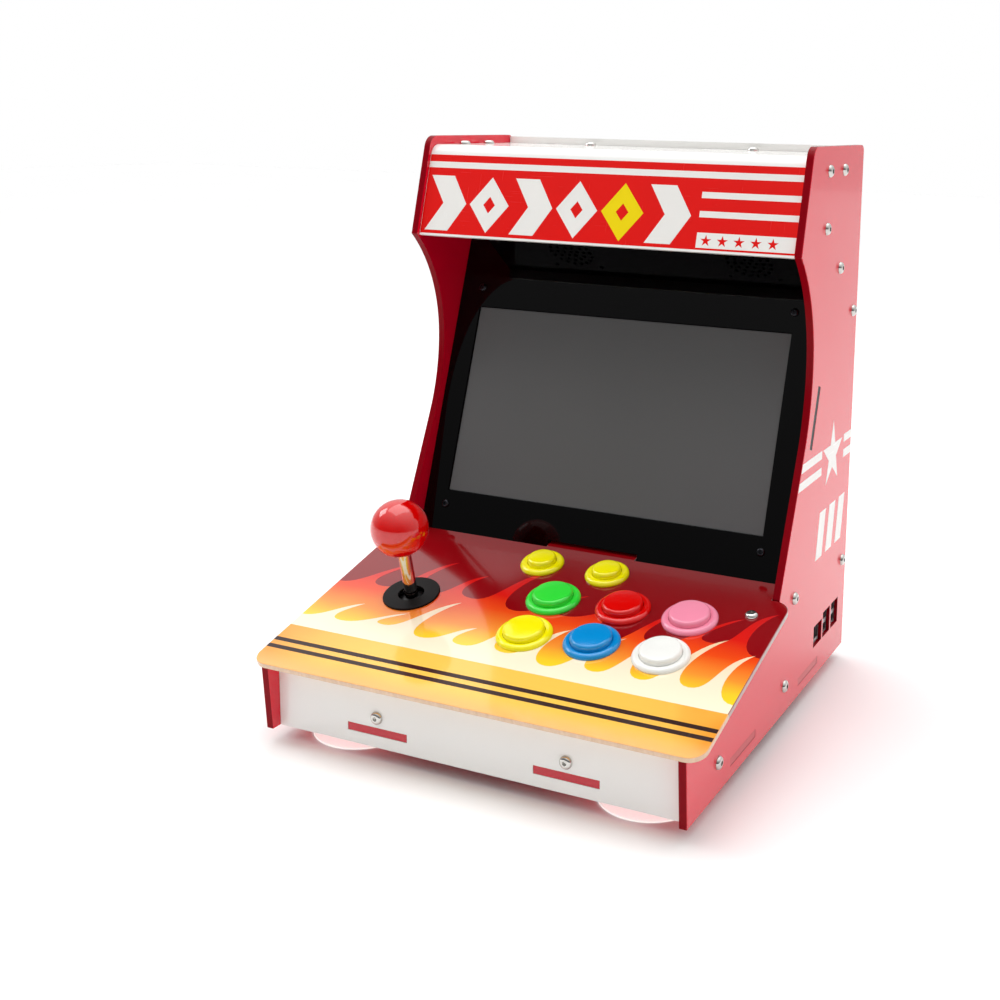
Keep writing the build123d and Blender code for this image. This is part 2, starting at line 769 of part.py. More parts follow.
with BuildPart() as joystick_clip:
    with BuildSketch(stick_plane(stick_tip + 1.65)):
        Circle(6.0)
        Circle(stick_radius - 0.8, mode=Mode.SUBTRACT)
        with Locations((0, -4.0)):
            Rectangle(3.0, 8.0, mode=Mode.SUBTRACT)
    extrude(amount=0.8)
save(joystick_clip.part, "joystick_clip")

with BuildPart() as ball_top:
    with Locations(stick_plane(ball_centre)):
        Sphere(ball_radius)
    with BuildSketch(stick_plane(ball_centre - ball_radius + 0.9)):
        Circle(8.0)
    extrude(amount=-2.0, mode=Mode.SUBTRACT)
    with BuildSketch(stick_plane(ball_centre - ball_radius - 1)):
        Circle(stick_radius)
    extrude(amount=ball_radius - 7.0, mode=Mode.SUBTRACT)
    with BuildSketch(stick_plane(ball_centre - 8.5)):
        Circle(3.0)
    extrude(amount=8.5, mode=Mode.SUBTRACT)
save(ball_top.part, "ball_top")

with BuildPart() as dust_washer:
    with BuildSketch(stick_plane(0.1)):
        Circle(17.5)
        Circle(7.9, mode=Mode.SUBTRACT)
    extrude(amount=1.2)
    fillet(dust_washer.edges().filter_by(GeomType.CIRCLE).sort_by(stick_axis)[-2:], 0.5)
save(dust_washer.part, "dust_washer")

# cap round the pivot, on the shaft: it closes the washer's hole whichever way the stick leans
cover_radius = 14.6
cover_wall = 0.8
cover_edge = -4.9           # its lower rim, under the control panel
with BuildPart() as joystick_cover:
    with Locations(stick_plane(stick_pivot)):
        Sphere(cover_radius)
        Sphere(cover_radius - cover_wall, mode=Mode.SUBTRACT)
    with BuildSketch(stick_plane(cover_edge)):
        Circle(cover_radius + 1)
    extrude(amount=stick_pivot - cover_radius - cover_edge - 1, mode=Mode.SUBTRACT)
    with BuildSketch(stick_plane(stick_pivot)):
        Circle(stick_radius)
    extrude(amount=cover_radius + 1, mode=Mode.SUBTRACT)
save(joystick_cover.part, "joystick_cover")

# coil spring and actuator collar, both on the shaft under the gimbal
with BuildPart() as joystick_spring:
    with BuildLine():
        coil_foot = stick_plane(-25.6).origin
        winding = Helix(pitch=1.9, height=5.7, radius=6.0, center=coil_foot, direction=control.z_dir)
    with BuildSketch(Plane(origin=winding @ 0, z_dir=winding % 0)):
        Circle(0.5)
    sweep(is_frenet=True)
save(joystick_spring.part, "joystick_spring")

with BuildPart() as joystick_actuator:
    with BuildSketch(stick_plane(-34.0)):
        Circle(6.8)
        Circle(stick_radius, mode=Mode.SUBTRACT)
    extrude(amount=7.5)
save(joystick_actuator.part, "joystick_actuator")

switch_size = (6.4, 19.0)
switch_near = 10.6          # from the middle of the joystick to a switch's face
with BuildPart() as joystick_switch_board:
    with BuildSketch(stick_plane(housing_bottom + 0.6)):
        RectangleRounded(2 * housing_half - 6.0, 2 * housing_half - 6.0, 2.0)
        RectangleRounded(17.6, 17.6, 2.0, mode=Mode.SUBTRACT)
    extrude(amount=-board)
save(joystick_switch_board.part, "joystick_switch_board")

with BuildPart() as restrictor_gate:
    with BuildSketch(stick_plane(housing_bottom - 1.0)):
        RectangleRounded(2 * housing_half, 2 * housing_half, 4.0)
        RectangleRounded(16.4, 16.4, 2.0, mode=Mode.SUBTRACT)
    extrude(amount=-3.0)
    with BuildSketch(stick_plane(housing_bottom)):
        RectangleRounded(2 * housing_half, 2 * housing_half, 4.0)
        Rectangle(2 * housing_half - 5.5, 2 * housing_half - 5.5, mode=Mode.SUBTRACT)
    extrude(amount=-1.0)
save(restrictor_gate.part, "restrictor_gate")


# ---- push buttons ----
# Lips, bores and plungers are revolved in the button's own section (radius, lift above the panel).
plunger_rise = 6.0
floor_lift = -17.0
floor_sheet = 1.5


def build_housing(spot, rim, barrel, bore):
    with BuildPart() as housing:
        with BuildSketch(Plane(origin=on(control, *spot).origin, x_dir=(1, 0, 0), z_dir=-control.y_dir)):
            with BuildLine():
                Polyline((bore, 2.4), (bore, floor_lift), (3.0, floor_lift), (3.0, floor_lift - floor_sheet))
                Polyline((3.0, floor_lift - floor_sheet), (barrel, floor_lift - floor_sheet), (barrel, 0.1))
                Polyline((barrel, 0.1), (rim, 0.1), (rim, 0.9))
                ThreePointArc((rim, 0.9), (rim - 0.8, 2.1), (rim - 2.4, 2.8))
                Line((rim - 2.4, 2.8), (bore, 2.4))
            make_face()
        revolve(axis=Axis(on(control, *spot).origin, control.z_dir))
        for hand in (-1, 1):
            with Locations(on(control, spot[0] + hand * barrel, spot[1], -sheet - 1.6)):
                Box(1.6, 5.0, 3.0)
    return housing.part


def build_plunger(spot, radius):
    wall = 1.6
    with BuildPart() as plunger:
        with BuildSketch(Plane(origin=on(control, *spot).origin, x_dir=(1, 0, 0), z_dir=-control.y_dir)):
            with BuildLine():
                Polyline((radius, plunger_rise - 2.0), (radius, -9.0), (radius - wall, -9.0))
                Polyline((radius - wall, -9.0), (radius - wall, 2.0), (2.2, 2.0), (2.2, -13.6), (0, -13.6))
                Line((0, -13.6), (0, plunger_rise + 0.5))
                ThreePointArc(
                    (0, plunger_rise + 0.5), (radius / 2, plunger_rise + 0.37), (radius - 1.6, plunger_rise)
                )
                ThreePointArc(
                    (radius - 1.6, plunger_rise), (radius - 0.5, plunger_rise - 0.65), (radius, plunger_rise - 2)
                )
            make_face()
        revolve(axis=Axis(on(control, *spot).origin, control.z_dir))
    return plunger.part


for colour, spot in action_buttons.items():
    save(build_housing(spot, 16.7, 14.9, 12.5), f"button_housing_{colour}")
    save(build_plunger(spot, 12.3), f"button_plunger_{colour}")
for side, spot in menu_buttons.items():
    save(build_plunger(spot, 9.1), f"menu_button_plunger_{side}")

with BuildPart() as menu_button_housings:
    for spot in menu_buttons.values():
        add(build_housing(spot, 13.8, 11.9, 9.3))
save(menu_button_housings.part, "menu_button_housings")

with BuildPart() as microswitches:
    with BuildSketch(control.offset(floor_lift - floor_sheet)):
        with Locations(*action_buttons.values(), *menu_buttons.values()):
            Rectangle(*switch_size)
    extrude(amount=-10.0)
    with BuildSketch(stick_plane(housing_bottom + 0.6)):
        with PolarLocations(switch_near + switch_size[0] / 2, 4):
            Rectangle(*switch_size)
    extrude(amount=9.4)
save(microswitches.part, "microswitches")


# ---- rocker switch and power socket on the back ----
rocker_pivot = 1.0          # the rocker's axis lies this far outside the back panel's inner face
rocker_lean = -8.0          # at rest the rocker is in its off position
rocker_pin = 1.0


def outward(spot, depth):
    """Upright plane that faces away from the back of the cabinet."""
    return Plane(origin=place(spot[0], depth, spot[1]), x_dir=(-1, 0, 0), z_dir=(0, 1, 0))


pivot = place(rocker_spot[0], back_panel_depth + rocker_pivot, rocker_spot[1])
with BuildPart() as rocker_frame:
    outer = outward(rocker_spot, back_panel_depth + sheet)
    with BuildSketch(outer):
        RectangleRounded(21.5, 15.0, 1.5)
    extrude(amount=1.6)
    with BuildSketch(outer):
        Rectangle(rocker_cutout[0] - 0.4, rocker_cutout[1] - 0.4)
    extrude(amount=-14.0)
    with BuildSketch(outer.offset(1.6)):
        Rectangle(16.4, 10.6)
    extrude(amount=-11.0, mode=Mode.SUBTRACT)
    with Locations(Plane(origin=pivot)):
        Cylinder(rocker_pin + running, 20.0, mode=Mode.SUBTRACT)
save(rocker_frame.part, "rocker_frame")

with BuildPart() as rocker_button:
    section = Plane(origin=pivot, x_dir=(1, 0, 0), z_dir=(0, 0, 1)).rotated((0, 0, rocker_lean))
    with BuildSketch(section):
        with BuildLine():
            Polyline((-7.4, -1.0), (-4.0, -2.6), (4.0, -2.6), (7.4, -1.0), (7.4, 4.6))
            Polyline((7.4, 4.6), (0, 3.2), (-7.4, 4.6), (-7.4, -1.0))
        make_face()
    extrude(amount=4.9, both=True)
    with Locations(Plane(origin=pivot)):
        Cylinder(rocker_pin, 12.4)
save(rocker_button.part, "rocker_button")

with BuildPart() as power_inlet:
    flange = outward(inlet_spot, back_panel_depth + sheet)
    with BuildSketch(flange):
        Circle(5.8)
    extrude(amount=1.8)
    with BuildSketch(flange):
        Circle(inlet_radius - 0.1)
    extrude(amount=-14.0)
    with BuildSketch(flange.offset(1.8)):
        Circle(2.9)
    extrude(amount=-11.0, mode=Mode.SUBTRACT)
    with BuildSketch(flange.offset(-9.5)):
        Circle(1.0)
    extrude(amount=9.0)
save(power_inlet.part, "power_inlet")


# ---- fasteners ----
save(group(bracket.part, [b[0] for b in bracket_places + mount_brackets]), "corner_brackets")
m4_screw = button_head_screw(m4_radius, m4_head_radius, m4_head_height, side_sheet + bracket_wall)
m4_short = button_head_screw(m4_radius, m4_head_radius, m4_head_height, sheet + bracket_wall)


def by_grip(thickness):
    """Planes of the bracket screws that grip a sheet of the given thickness."""
    panels = [panel_screw(b) for b in bracket_places if b[1] == thickness]
    walls = [wall_screw(b) for b in bracket_places + mount_brackets if b[2] == thickness]
    return panels + walls


mount_screw = flat_head_screw(m4_radius, m4_head_radius, mount_sheet + bracket_wall)
with BuildPart() as case_screws:
    with Locations(*by_grip(side_sheet)):
        add(m4_screw)
    with Locations(*by_grip(sheet)):
        add(m4_short)
    with Locations(*mount_places):
        add(mount_screw)
save(case_screws.part, "case_screws")

mount_back = sheet + mount_sheet
m3_screw = button_head_screw(m3_radius, 2.7, 1.5, mount_back + 2.6)
bezel_planes = [on(screen, x, y) for x, y in bezel_screws()]
# screws through the bezel and the mount, with their nuts
with BuildPart() as mount_bolts:
    with Locations(*bezel_planes):
        add(m3_screw)
    for x, y in bezel_screws():
        with BuildSketch(on(screen, x, y, -mount_back)):
            RegularPolygon(3.1, 6)
        extrude(amount=-2.4)
save(mount_bolts.part, "bezel_screws")

board_screw = button_head_screw(m3_radius, 2.7, 1.6, board + 3.0)
board_places = [on(board_level, x, y, board) for x, y in floor_bosses]
board_places += [on(driver_plane, x, y, board) for x, y in driver_holes]
save(group(board_screw, board_places), "board_screws")

with BuildPart() as threaded_studs:
    for x, depth in foot_spots:
        with BuildSketch(on(level(bottom_panel_height - 6.0), x, depth)):
            Circle(m4_radius)
        extrude(amount=6.0 + side_sheet + 5.0)
        with BuildSketch(on(level(bottom_top), x, depth)):
            RegularPolygon(4.0, 6)
        extrude(amount=3.2)
    with BuildSketch(stick_plane(-sheet)):
        with GridLocations(*plate_holes, 2, 2):
            Circle(m4_radius)
    extrude(amount=-7.0)
    with BuildSketch(stick_plane(plate_bottom)):
        with GridLocations(*plate_holes, 2, 2):
            RegularPolygon(4.0, 6)
    extrude(amount=-3.2)
save(threaded_studs.part, "threaded_studs")


# ---- internal cables, clipped along their routes ----
def behind_screen(x, up, back):
    """(x, depth, height) of a point on the screen's own plane, some way behind the bezel's face."""
    tilt = radians(screen_tilt)
    depth = screen_origin[0] + up * cos(tilt) + back * sin(tilt)
    return (x, depth, screen_origin[1] + up * sin(tilt) - back * cos(tilt))


def cable(name, route, radius, bends):
    """A round cable along straight runs with a bend radius for each corner of its route."""
    points = [place(*p) for p in route]
    with BuildPart() as lead:
        with BuildLine():
            path = FilletPolyline(*points, radius=bends)
        with BuildSketch(Plane(origin=path @ 0, z_dir=path % 0)):
            Circle(radius)
        sweep()
    save(lead.part, name)


board_top = bottom_top + boss_height + board
driver_face = lcd_back + driver_boss + board
cable(
    "display_cable",
    [
        behind_screen(50, 42, driver_face + 0.05),
        behind_screen(50, 42, driver_face + 22),
        (55, 240, 100),
        (55, 240, board_top + 0.05),
    ],
    2.5,
    [14.0, 25.0],
)
cable(
    "control_harness",
    [(-15, 142.5, 32), (-15, 163, 36), (-40, 166, 42), (-72, 146, 42), (-76, 128, 30)],
    3.0,
    [6.0, 10.0, 8.0],
)
cable(
    "speaker_cable",
    [(0, 196, 297), (0, 240, 297), (20, 256, 250), (26, 256, 90), (46, 246, 30)],
    1.6,
    [9.0, 12.0, 14.0],
)
cable(
    "power_cable",
    [(-96, 259, 44), (-96, 244, 44), (-70, 238, 26), (0, 238, 16), (38, 236, 22)],
    2.2,
    [6.0, 10.0, 12.0],
)
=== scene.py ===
import json
import random
from math import acos, atan2, cos, hypot, pi, radians, sin, sqrt

import bmesh
import bpy
from mathutils import Matrix, Vector


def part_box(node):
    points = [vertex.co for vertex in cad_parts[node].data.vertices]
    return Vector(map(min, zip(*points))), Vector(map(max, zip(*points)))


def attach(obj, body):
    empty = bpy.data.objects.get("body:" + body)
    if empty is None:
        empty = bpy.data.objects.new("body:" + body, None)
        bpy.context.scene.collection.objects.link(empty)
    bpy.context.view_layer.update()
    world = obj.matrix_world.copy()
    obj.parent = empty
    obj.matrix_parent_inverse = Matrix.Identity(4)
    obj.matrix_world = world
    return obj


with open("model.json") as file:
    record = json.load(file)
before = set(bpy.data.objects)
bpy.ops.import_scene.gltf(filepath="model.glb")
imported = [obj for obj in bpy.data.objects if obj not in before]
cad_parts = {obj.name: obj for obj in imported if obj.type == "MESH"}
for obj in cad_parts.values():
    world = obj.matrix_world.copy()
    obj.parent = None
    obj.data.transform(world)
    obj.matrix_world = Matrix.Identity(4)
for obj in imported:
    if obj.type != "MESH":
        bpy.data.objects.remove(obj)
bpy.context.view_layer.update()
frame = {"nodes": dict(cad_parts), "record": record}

# Bartop arcade cabinet: the looks. Sizes are in millimetres and turn into metres in one place, at().
MM = 0.001
side_low, side_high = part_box("side_panel_right")
DEPTH = 275.0                   # front to back along the side panels' foot
FRONT = side_high.y / MM - DEPTH    # Y of that foot's front corner
FOOT = side_low.z / MM          # their bottom edge above the table
SIDE = side_high.x / MM         # outer faces, either side of the middle
CABINET = "cabinet"

PANEL_SLOPE = radians(14.4)
PANEL_ORIGIN = (0.6, 42.1)      # depth and height of the control panel's own origin
PANEL_FRONT = -4.6
PANEL_HALF = 140.6
BAND_TOP = 33.4                 # where the orange band along the panel's front ends and the flames start
SCREEN_TILT = radians(70.8)
MARQUEE_TILT = radians(74.1)
MARQUEE_FOOT = (155.1, 275.8)
MARQUEE_FLAT = 53.3             # height of the marquee's flat face, below its bend
MARQUEE_HALF = 127.6
CURVE_CENTRE = (58.7, 208.0)    # lower arc of the side panels' concave edge, in depth and height
CURVE_RADIUS = 125.0
SEAT = (135.7, 76.8)            # where the straight stretch under the arc meets the control panel
BUTTONS = [(2, 102), (47, 105), (89, 106.5), (2.5, 65), (44, 69), (87, 69)]
MENU_BUTTONS = [(-23.4, 135.7), (21.8, 135.7)]
STICK = (-86, 82)
WIDE_HOLE = 15.1                # radius in the control panel round a large button
NARROW_HOLE = 12.1              # round a small button and the joystick
PRINT = 0.05                    # thickness of printed film
INSET = 0.3                     # printed film ends this far inside the control panel's edge


# ---- places ----
def at(x, depth, height):
    """Point in metres, from millimetres across, behind the front and above the sides' foot."""
    return Vector((x, FRONT + depth, FOOT + height)) * MM


def plane(origin, across, up):
    """Matrix of a drawing plane: millimetres across, up and out of it."""
    across, up = Vector(across), Vector(up)
    axes = Matrix((across, up, across.cross(up))).transposed() * MM
    return Matrix.Translation(origin) @ axes.to_4x4()


def leaning(depth, height, tilt):
    return plane(at(0, depth, height), (1, 0, 0), (0, cos(tilt), sin(tilt)))


PANEL = leaning(*PANEL_ORIGIN, PANEL_SLOPE)
MARQUEE = leaning(*MARQUEE_FOOT, MARQUEE_TILT)
RIGHT = plane(at(SIDE, 0, 0), (0, 1, 0), (0, 0, 1))
LEFT = plane(at(-SIDE, 0, 0), (0, -1, 0), (0, 0, 1))


# ---- shader building ----
class Shader:
    """A material's node tree, with short calls to add nodes."""

    def __init__(self, name):
        self.material = bpy.data.materials.new(name)
        self.material.use_nodes = True
        self.nodes = self.material.node_tree.nodes
        self.links = self.material.node_tree.links
        self.surface = self.nodes["Principled BSDF"]

    def add(self, kind, **inputs):
        """A node of a kind, with its inputs set by name to a socket or a value."""
        made = self.nodes.new("ShaderNode" + kind)
        for name, value in inputs.items():
            self.put(made.inputs[name.replace("_", " ")], value)
        return made

    def put(self, socket, value):
        if isinstance(value, bpy.types.NodeSocket):
            self.links.new(value, socket)
        else:
            socket.default_value = value

    def set(self, **inputs):
        for name, value in inputs.items():
            self.put(self.surface.inputs[name.replace("_", " ")], value)
        return self

    def place(self, stretch=(1, 1, 1), turn=(0, 0, 0)):
        """The row frame's coordinates in metres, scaled and turned."""
        spot = self.add("TexCoord").outputs["Object"]
        return self.add("Mapping", Vector=spot, Scale=stretch, Rotation=turn).outputs[0]

    def noise(self, scale, detail=3.0, stretch=(1, 1, 1), turn=(0, 0, 0)):
        return self.add("TexNoise", Vector=self.place(stretch, turn), Scale=scale, Detail=detail).outputs[0]

    def fit(self, value, low, high, new_low=0.0, new_high=1.0):
        """A value taken from one range to another, clamped."""
        made = self.add("MapRange", Value=value, From_Min=low, From_Max=high, To_Min=new_low, To_Max=new_high)
        return made.outputs[0]

    def maths(self, operation, a, b=0.0):
        made = self.nodes.new("ShaderNodeMath")
        made.operation = operation
        self.put(made.inputs[0], a)
        self.put(made.inputs[1], b)
        return made.outputs[0]

    def along(self, direction, offset=0.0, of=None):
        """How far the surface point, or another vector, lies along a direction, in its own unit."""
        made = self.nodes.new("ShaderNodeVectorMath")
        made.operation = "DOT_PRODUCT"
        self.put(made.inputs[0], of or self.add("TexCoord").outputs["Object"])
        made.inputs[1].default_value = direction
        return self.maths("SUBTRACT", made.outputs["Value"], offset)

    def mix(self, share, a, b):
        made = self.nodes.new("ShaderNodeMix")
        made.data_type = "RGBA"
        for socket, value in zip((0, 6, 7), (share, a, b)):
            self.put(made.inputs[socket], value)
        return made.outputs[2]

    def ramp(self, value, stops):
        made = self.add("ValToRGB", Fac=value)
        row = made.color_ramp.elements
        while len(row) < len(stops):
            row.new(0.5)
        for element, (spot, colour) in zip(row, stops):
            element.position = spot
            element.color = colour
        return made.outputs[0]

    def bump(self, height, depth, strength=1.0):
        """Relief of a depth in millimetres, on top of any relief already there."""
        made = self.add("Bump", Height=height, Distance=depth * MM, Strength=strength)
        earlier = self.surface.inputs["Normal"]
        if earlier.is_linked:
            self.links.new(earlier.links[0].from_socket, made.inputs["Normal"])
        self.links.new(made.outputs[0], earlier)

    def edges(self, face):
        """1 on a sheet's cut edges and 0 on its faces, which look along the given direction."""
        normal = self.add("NewGeometry").outputs["True Normal"]
        return self.fit(self.maths("ABSOLUTE", self.along(face, of=normal)), 0.5, 0.8, 1.0, 0.0)


def colour(red, green, blue):
    """Colour as a shader takes it, from the 0 to 255 of a paint chart."""
    return tuple((v / 255) ** 2.2 for v in (red, green, blue)) + (1.0,)


def shade(tone, factor):
    return tuple(v * factor for v in tone[:3]) + (1.0,)


ACROSS, ALONG, UP = (1, 0, 0), (0, 1, 0), (0, 0, 1)
SCREEN_FACE = (0, -sin(SCREEN_TILT), cos(SCREEN_TILT))
PANEL_FACE = (0, -sin(PANEL_SLOPE), cos(PANEL_SLOPE))
PANEL_UP = (0, cos(PANEL_SLOPE), sin(PANEL_SLOPE))


# ---- materials ----
def worn(shader, rough, marks=0.06):
    """Roughness with fingerprints in broad soft patches and fine rubbed lines in two directions."""
    smudge = shader.fit(shader.noise(22, 4), 0.45, 0.75, 0.0, marks)
    rubbed = shader.noise(40, 2, (30, 1, 1), (0.3, 0.5, 0.2))
    crossed = shader.noise(40, 2, (1, 1, 34), (0.2, -0.4, 0.7))
    lines = shader.fit(shader.maths("MAXIMUM", rubbed, crossed), 0.68, 0.74, 0.0, marks)
    shader.set(Roughness=shader.maths("ADD", shader.maths("ADD", smudge, lines), rough))


def acrylic(name, face_tone, edge_tone, face, rough=0.09, edge_on_face=False, coat=0.35, gloss=0.5, shine=0):
    """Cast acrylic sheet: glossy faces and laser-cut edges with fine lines through the thickness."""
    shader = Shader(name)
    edge = shader.edges(face)
    if edge_on_face:
        edge = shader.maths("SUBTRACT", 1.0, edge)
    cloud = shader.noise(9, 2)
    plain = shader.mix(cloud, shade(face_tone, 0.97), shade(face_tone, 1.03))
    cut = shader.mix(shader.noise(260, 2, (0.12, 1, 1)), shade(edge_tone, 0.9), shade(edge_tone, 1.08))
    worn(shader, rough)
    polished = shader.surface.inputs["Roughness"].links[0].from_socket
    frosted = shader.fit(shader.noise(300, 2), 0.3, 0.7, 0.22, 0.27)
    rough_mix = shader.nodes.new("ShaderNodeMix")
    for socket, value in zip((0, 2, 3), (edge, polished, frosted)):
        shader.put(rough_mix.inputs[socket], value)
    shader.set(Base_Color=shader.mix(edge, plain, cut), Roughness=rough_mix.outputs[0])
    shader.set(IOR=1.49, Coat_Weight=shader.fit(edge, 0, 1, coat, coat * shine), Coat_Roughness=0.04)
    shader.set(Specular_IOR_Level=shader.fit(edge, 0, 1, gloss, max(0.08, gloss * shine)))
    shader.bump(shader.maths("MULTIPLY", shader.noise(700, 1, (0.1, 1, 1)), edge), 0.01, 0.1)
    shader.bump(shader.noise(30, 1), 0.25, 0.12)
    return shader.material


def plastic(name, tone, rough=0.16, grain=0.0, coat=0.25, gloss=0.5):
    """Injection-moulded plastic: flow marks, a faint skin and, on matt parts, a moulded grain."""
    shader = Shader(name)
    flow = shader.noise(60, 3, (1, 1, 3))
    shader.set(Base_Color=shader.mix(flow, shade(tone, 0.93), shade(tone, 1.04)))
    worn(shader, rough, 0.05)
    shader.set(IOR=1.5, Coat_Weight=coat, Coat_Roughness=0.08, Specular_IOR_Level=gloss)
    shader.bump(shader.noise(260, 2), 0.02, 0.25)
    if grain:
        shader.bump(shader.add("TexVoronoi", Vector=shader.place(), Scale=1600).outputs[0], grain, 0.7)
    return shader.material


def metal(name, tone, rough=0.12, brushed=(1, 1, 1)):
    """Plated or drawn metal with polishing lines and small dull spots."""
    shader = Shader(name)
    spots = shader.fit(shader.noise(350, 4), 0.5, 0.8)
    shader.set(Base_Color=shader.mix(spots, tone, shade(tone, 0.72)), Metallic=1.0)
    lines = shader.noise(1500, 2, brushed)
    shader.set(Roughness=shader.fit(lines, 0.3, 0.7, rough * 0.7, rough * 1.5))
    shader.bump(lines, 0.01, 0.3)
    return shader.material


def circuit(name):
    """Green solder mask over copper tracks, with pale dots where parts are soldered."""
    shader = Shader(name)
    mask, copper, solder = colour(12, 84, 44), colour(32, 120, 62), colour(200, 200, 190)
    track = shader.nodes.new("ShaderNodeTexBrick")
    shader.links.new(shader.place(), track.inputs["Vector"])
    weave = (("Scale", 160), ("Mortar Size", 0.04), ("Color1", mask), ("Color2", shade(mask, 1.3)))
    for socket, value in weave:
        track.inputs[socket].default_value = value
    track.inputs["Mortar"].default_value = copper
    joints = shader.add("TexVoronoi", Vector=shader.place(), Scale=420).outputs[0]
    dots = shader.fit(joints, 0.16, 0.2, 1.0, 0.0)
    chips = shader.fit(shader.along(UP, of=shader.add("NewGeometry").outputs["True Normal"]), -0.2, 0.2)
    board = shader.mix(shader.maths("MULTIPLY", dots, chips), track.outputs[0], solder)
    shader.set(Base_Color=board, Roughness=shader.fit(dots, 0, 1, 0.32, 0.2), Coat_Weight=0.3)
    shader.bump(dots, 0.2, 0.6)
    return shader.material


def cable(name, tone):
    """Ribbon of thin insulated wires, with grooves between them coloured darker as painted shade."""
    shader = Shader(name)
    wires = shader.add("TexWave", Vector=shader.place(), Scale=260).outputs[1]
    # Painted shade: the grooves between the wires get half the tone.
    shader.set(Base_Color=shader.mix(wires, shade(tone, 0.5), tone))
    shader.set(Roughness=shader.fit(wires, 0, 1, 0.55, 0.38))
    shader.bump(wires, 0.3, 0.5)
    return shader.material


def silicone(name):
    """Milky clear rubber of the suction cups, a little dusty and cloudy inside, with a painted glow for light
    shining through it.
    """
    shader = Shader(name)
    cloud = shader.noise(70, 4)
    shader.set(Base_Color=shader.mix(cloud, colour(196, 199, 199), colour(210, 212, 212)))
    shader.set(Roughness=shader.fit(shader.noise(300, 3), 0.3, 0.7, 0.16, 0.34), IOR=1.41)
    shader.set(Subsurface_Weight=0.5, Subsurface_Scale=0.01)
    # Painted glow: white emission stands in for light from the table shining through the rubber in the
    # cabinet's shadow.
    shader.set(Emission_Color=(1, 1, 1, 1), Emission_Strength=0.6)
    shader.bump(cloud, 0.1, 0.2)
    return shader.material


def display(name):
    """Switched-off display: grey polariser under glass, with a pixel grid too fine to see from afar."""
    shader = Shader(name)
    grid = shader.noise(2400, 1)
    haze = shader.noise(6, 2)
    tone = shader.mix(haze, colour(92, 92, 93), colour(99, 99, 99))
    shader.set(Base_Color=shader.mix(shader.fit(grid, 0.2, 0.8, 0.0, 0.12), tone, colour(78, 78, 80)))
    worn(shader, 0.12, 0.05)
    shader.set(IOR=1.5, Specular_IOR_Level=0.3)
    return shader.material


def printed(shader, rough=0.1):
    """The gloss of clear acrylic over print."""
    worn(shader, rough, 0.05)
    shader.set(IOR=1.49, Coat_Weight=0.3, Coat_Roughness=0.03)
    shader.bump(shader.noise(30, 1), 0.25, 0.08)
    return shader.material


def panel_up(shader):
    """Distance up the control panel's slope, in metres from its origin."""
    origin = PANEL.translation
    return shader.along(PANEL_UP, Vector(PANEL_UP).dot(origin))


def ink(name, stops, dapple=0.05):
    """Print whose colour runs through stops, which are (millimetres up the panel, colour)."""
    shader = Shader(name)
    low, high = stops[0][0], stops[-1][0]
    uneven = shader.fit(shader.noise(12, 3), 0.3, 0.7, -dapple, dapple)
    share = shader.maths("ADD", shader.fit(panel_up(shader), low * MM, high * MM), uneven)
    spots = [((spot - low) / (high - low), tone) for spot, tone in stops]
    shader.set(Base_Color=shader.ramp(share, spots))
    return printed(shader)


def panel_print(name):
    """The control panel: orange band at the front, dark red behind it, and pale glassy cut edges."""
    shader = Shader(name)
    edge = shader.edges(PANEL_FACE)
    up = panel_up(shader)
    warm = shader.maths("ADD", shader.along(ACROSS), shader.fit(shader.noise(14, 2), 0.3, 0.7, -0.02, 0.02))
    orange, yellow = colour(240, 156, 58), colour(255, 202, 88)
    band = shader.ramp(
        shader.fit(warm, -0.14, 0.14),
        [
            (0.0, orange), (0.3, yellow), (0.7, shade(yellow, 0.98)),
            (0.93, colour(255, 190, 84)), (1.0, orange),
        ],
    )
    front = shader.fit(up, PANEL_FRONT * MM, 0.008)
    band = shader.mix(front, colour(250, 182, 104), band)
    cloudy = shader.noise(8, 3)
    dark = shader.mix(cloudy, colour(128, 10, 18), colour(150, 18, 26))
    top = shader.mix(shader.fit(up, BAND_TOP * MM, (BAND_TOP + 0.2) * MM), band, dark)
    glassy = shader.mix(shader.noise(700, 2, (1, 1, 0.1)), colour(176, 170, 164), colour(236, 232, 226))
    shader.set(Base_Color=shader.mix(edge, top, shader.mix(0.55, top, glassy)))
    return printed(shader)


def film(name, tone):
    """Screen-printed vinyl on the cabinet's outside."""
    shader = Shader(name)
    shader.set(Base_Color=shader.mix(shader.noise(40, 3), shade(tone, 0.95), tone), IOR=1.45)
    worn(shader, 0.2, 0.08)
    shader.bump(shader.noise(500, 2), 0.01, 0.3)
    return shader.material


RED, CRIMSON = colour(228, 5, 46), colour(134, 5, 24)
WHITE, WHITE_EDGE = colour(247, 246, 243), colour(232, 229, 223)
BLACK, BLACK_EDGE = colour(6, 5, 7), colour(20, 18, 20)
BUTTON_TONES = {
    "yellow": colour(255, 244, 0),
    "green": colour(56, 228, 64),
    "red": colour(226, 12, 8),
    "pink": colour(252, 148, 176),
    "blue": colour(12, 142, 214),
    "white": colour(248, 248, 243),
}
flat_black = plastic("black_plastic", colour(18, 18, 19), 0.4, 0.03, 0.0, 0.25)
steel = metal("plated_steel", colour(206, 204, 200), 0.06)
brass = metal("brass", colour(214, 178, 92), 0.16)
angle = metal("extruded_aluminium", colour(196, 198, 200), 0.26, (0.05, 1, 1))
red_side = acrylic("red_acrylic_sides", RED, CRIMSON, ACROSS, 0.16)
boards = circuit("circuit_board")

